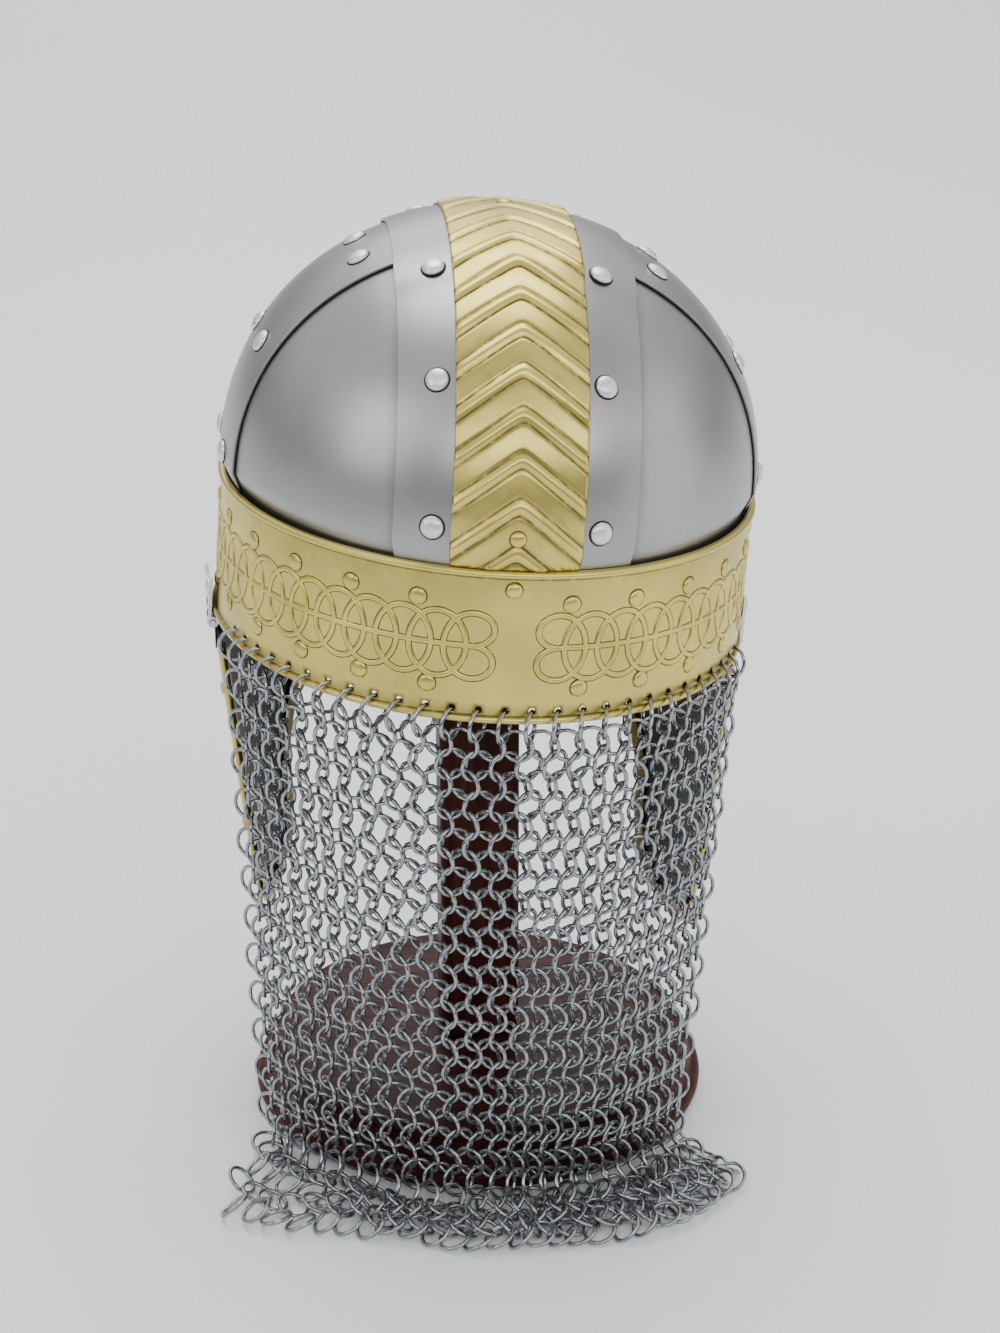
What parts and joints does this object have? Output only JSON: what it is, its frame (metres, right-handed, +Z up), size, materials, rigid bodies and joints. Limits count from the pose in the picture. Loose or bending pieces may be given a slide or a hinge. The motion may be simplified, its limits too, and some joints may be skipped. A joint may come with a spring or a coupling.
{
  "type": "norse iron helmet with mail curtain on a wooden stand",
  "caption": "Round iron helmet with a brass brow band, crest and side bands, hinged cheek guards and a hanging mail curtain, set on a turned wooden stand with a board post.",
  "frame": {"origin": "centre of the flat underside of the wooden foot", "axes": "+Z up, the front of the helmet faces -Y, the wearer's left is +X; the helmet leans a few degrees to its right on the stand, as shown"},
  "size_m": [0.2197, 0.2615, 0.3724],
  "materials": {
    "crown_steel": "satin polished iron with fine circular scratches",
    "polished_steel": "polished steel rivet heads and hinges",
    "brass": "pale satin brass, stamped in relief, darker in the recesses",
    "mail_steel": "drawn steel wire rings with a soft shine",
    "dark_steel": "dark unpolished steel",
    "wood": "dark reddish stained and polished wood"
  },
  "bodies": {
    "helmet": {"panel_rear_left": "crown_steel", "panel_rear_right": "crown_steel", "panel_front_left": "crown_steel", "panel_front_right": "crown_steel", "side_band_left": "crown_steel", "side_band_right": "crown_steel", "crest_band": "crown_steel", "ridge_strip": "brass", "rivet_crest_rear_left_1": "polished_steel", "rivet_crest_rear_left_2": "polished_steel", "rivet_crest_rear_left_3": "polished_steel", "rivet_side_rear_left_1": "polished_steel", "rivet_side_rear_left_2": "polished_steel", "rivet_side_rear_left_3": "polished_steel", "rivet_crest_rear_right_1": "polished_steel", "rivet_crest_rear_right_2": "polished_steel", "rivet_crest_rear_right_3": "polished_steel", "rivet_side_rear_right_1": "polished_steel", "rivet_side_rear_right_2": "polished_steel", "rivet_side_rear_right_3": "polished_steel", "rivet_crest_front_left_1": "polished_steel", "rivet_crest_front_left_2": "polished_steel", "rivet_crest_front_left_3": "polished_steel", "rivet_side_front_left_1": "polished_steel", "rivet_side_front_left_2": "polished_steel", "rivet_side_front_left_3": "polished_steel", "rivet_crest_front_right_1": "polished_steel", "rivet_crest_front_right_2": "polished_steel", "rivet_crest_front_right_3": "polished_steel", "rivet_side_front_right_1": "polished_steel", "rivet_side_front_right_2": "polished_steel", "rivet_side_front_right_3": "polished_steel", "rivet_strip_1": "brass", "rivet_strip_2": "brass", "rivet_strip_3": "brass", "brow_band": "brass", "rivet_brow_rear": "brass", "rivet_brow_front": "brass", "hinge_leaf_left": "polished_steel", "hinge_pin_left": "polished_steel", "rivet_leaf_left_1": "polished_steel", "rivet_leaf_left_2": "polished_steel", "hinge_leaf_right": "polished_steel", "hinge_pin_right": "polished_steel", "rivet_leaf_right_1": "polished_steel", "rivet_leaf_right_2": "polished_steel", "stand_foot": "wood", "stand_post": "wood", "stand_block": "wood", "mail_curtain": "mail_steel"},
    "cheek_left": {"cheek_guard_left": "dark_steel", "edging_left": "brass", "rivet_edging_left_1": "brass", "rivet_edging_left_2": "brass", "rivet_edging_left_3": "brass"},
    "cheek_right": {"cheek_guard_right": "dark_steel", "edging_right": "brass", "rivet_edging_right_1": "brass", "rivet_edging_right_2": "brass", "rivet_edging_right_3": "brass"}
  },
  "joints": [
    {"name": "cheek_left_hinge", "type": "hinge", "parent": "helmet", "child": "cheek_left", "pos_m": [0.10404, -0.006, 0.21249], "axis": [0, -1, 0], "range_deg": [-12, 70]},
    {"name": "cheek_right_hinge", "type": "hinge", "parent": "helmet", "child": "cheek_right", "pos_m": [-0.10335, -0.006, 0.19653], "axis": [0, 1, 0], "range_deg": [-12, 70]}
  ]
}
